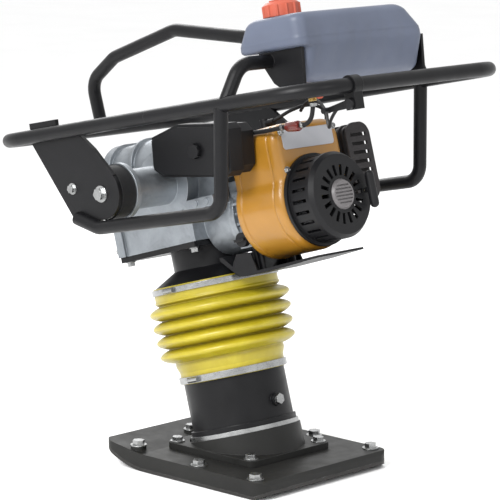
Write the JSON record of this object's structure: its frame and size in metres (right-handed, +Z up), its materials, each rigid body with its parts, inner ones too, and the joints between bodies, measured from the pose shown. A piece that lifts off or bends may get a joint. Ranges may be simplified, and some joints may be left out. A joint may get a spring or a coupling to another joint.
{
  "type": "jumping jack rammer",
  "caption": "Petrol soil rammer: a curled shoe on a leaning sprung leg with a ribbed boot, gear case, engine, tubular handle loop, lifting bar and fuel tank",
  "frame": {"origin": "on the ground under the shoe, where the ram line meets the flat underside", "axes": "+X points to the toe, +Y to the left of the operator who stands behind, +Z up; the ram line leans 16 degrees forward in the XZ plane"},
  "size_m": [0.8249, 0.533, 0.8627],
  "materials": {
    "wear_steel": "worn satin steel",
    "shoe_black": "satin black paint",
    "zinc": "zinc plated",
    "satin_black": "satin powder coat",
    "brass": "machined",
    "ground_steel": "ground, oiled",
    "spring_steel": "shot peened",
    "boot_yellow": "smooth polyurethane",
    "cast_aluminium": "die cast, satin",
    "shroud_orange": "moulded, semi gloss",
    "label": "plain film",
    "dark_plastic": "fine moulded grain",
    "grey_plastic": "moulded",
    "muffler_black": "heat resistant paint",
    "rubber": "matt",
    "rope": "braided",
    "tank_plastic": "blow moulded, fine grain",
    "cap_red": "moulded"
  },
  "bodies": {
    "foot": {"wear_plate": "wear_steel", "shoe": "shoe_black", "foot_bolts": "zinc", "foot_bracket": "shoe_black", "leg_flange": "zinc", "leg_tube": "satin_black", "leg_plug": "zinc", "lower_clamp": "zinc", "spring_cylinder": "ground_steel", "lower_spring": "spring_steel", "upper_spring": "spring_steel"},
    "powerhead": {"bellows": "boot_yellow", "guide_cylinder": "ground_steel", "boot_collar": "satin_black", "upper_clamp": "zinc", "crankcase": "cast_aluminium", "front_cover": "cast_aluminium", "case_bolts": "zinc", "engine_block": "cast_aluminium", "cylinder_head": "cast_aluminium", "shroud": "shroud_orange", "label_plate": "label", "starter_housing": "dark_plastic", "starter_hub": "grey_plastic", "muffler": "muffler_black", "carburettor": "cast_aluminium", "air_case": "dark_plastic", "air_cover": "dark_plastic", "spark_plug": "dark_plastic", "skid_bar": "satin_black", "rubber_mount_left": "rubber", "rubber_mount_right": "rubber", "fuel_hose": "rubber"},
    "ram": {"ram_rod": "ground_steel"},
    "crank": {"crank_gear": "ground_steel"},
    "drum": {"clutch_drum": "ground_steel"},
    "rotor": {"clutch_hub": "cast_aluminium", "engine_rotor": "ground_steel"},
    "pulley": {"starter_pulley": "dark_plastic"},
    "grip": {"starter_grip": "dark_plastic", "starter_rope": "rope"},
    "choke": {"choke_lever": "zinc"},
    "air_screw": {"air_knob": "dark_plastic"},
    "oil_filler": {"oil_cap": "dark_plastic"},
    "handle": {"handle_front": "satin_black", "handle_rear": "satin_black", "plate_left": "satin_black", "plate_right": "satin_black", "guard_left": "satin_black", "guard_right": "satin_black", "tank_arch": "satin_black", "lifting_bar": "satin_black", "mount_bolts": "zinc", "fuel_tank": "tank_plastic", "fuel_cock": "brass", "throttle_bracket": "satin_black", "throttle_cable": "rubber"},
    "tank_cap": {"fuel_cap": "cap_red"},
    "cock": {"cock_lever": "cap_red"},
    "throttle": {"throttle_lever": "dark_plastic"}
  },
  "joints": [
    {"name": "foot_stroke", "type": "slide", "parent": "foot", "child": "powerhead", "axis": [0.2756, 0, 0.9613], "range_m": [-0.035, 0.035], "stiffness_N_per_m": 16000, "springref_m": 0.028, "deforming": ["bellows", "lower_spring", "upper_spring"]},
    {"name": "ram_stroke", "type": "slide", "parent": "powerhead", "child": "ram", "axis": [0.2756, 0, 0.9613], "range_m": [0, 0.056]},
    {"name": "crank_turn", "type": "hinge", "parent": "powerhead", "child": "crank", "pos_m": [0.14416, 0, 0.50274], "axis": [0.9613, 0, -0.2756], "continuous": true},
    {"name": "drum_turn", "type": "hinge", "parent": "powerhead", "child": "drum", "pos_m": [0.12156, 0, 0.42392], "axis": [0.9613, 0, -0.2756], "continuous": true},
    {"name": "engine_turn", "type": "hinge", "parent": "powerhead", "child": "rotor", "pos_m": [-0.0707, 0, 0.47904], "axis": [0.9613, 0, -0.2756], "continuous": true},
    {"name": "pulley_turn", "type": "hinge", "parent": "powerhead", "child": "pulley", "pos_m": [-0.18124, 0, 0.51074], "axis": [0.9613, 0, -0.2756], "continuous": true},
    {"name": "starter_pull", "type": "slide", "parent": "powerhead", "child": "grip", "axis": [-0.9613, 0, 0.2756], "range_m": [0, 0.45], "stiffness_N_per_m": 30, "deforming": ["starter_rope"]},
    {"name": "choke_turn", "type": "hinge", "parent": "powerhead", "child": "choke", "pos_m": [0.01372, 0.072, 0.55575], "axis": [0.9613, 0, -0.2756], "range_deg": [0, 75]},
    {"name": "air_screw_turn", "type": "hinge", "parent": "powerhead", "child": "air_screw", "pos_m": [-0.01, 0.15, 0.59], "axis": [0, 1, 0], "continuous": true},
    {"name": "oil_cap_turn", "type": "hinge", "parent": "powerhead", "child": "oil_filler", "pos_m": [-0.04355, 0.07, 0.42861], "axis": [0, 1, 0], "continuous": true},
    {"name": "handle_sway", "type": "hinge", "parent": "powerhead", "child": "handle", "pos_m": [0.12384, 0, 0.51169], "axis": [0, 1, 0], "range_deg": [-3, 3], "stiffness_Nm_per_rad": 3000, "springref_deg": 0.57, "deforming": ["fuel_hose", "throttle_cable", "rubber_mount_left", "rubber_mount_right"]},
    {"name": "fuel_cap_turn", "type": "hinge", "parent": "handle", "child": "tank_cap", "pos_m": [-0.17415, 0.108, 0.82937], "axis": [0.1994, 0, 0.9799], "range_deg": [0, 90]},
    {"name": "cock_turn", "type": "hinge", "parent": "handle", "child": "cock", "pos_m": [-0.23106, 0.096, 0.70012], "axis": [-0.9799, 0, 0.1994], "range_deg": [0, 90]},
    {"name": "throttle_turn", "type": "hinge", "parent": "handle", "child": "throttle", "pos_m": [-0.37735, 0.152, 0.70335], "axis": [0, 1, 0], "range_deg": [0, 45]}
  ],
  "couplings": [
    {"joint": "drum_turn", "follows": "crank_turn", "ratio": -4.8571},
    {"joint": "pulley_turn", "follows": "starter_pull", "rad_per_m": 20}
  ]
}
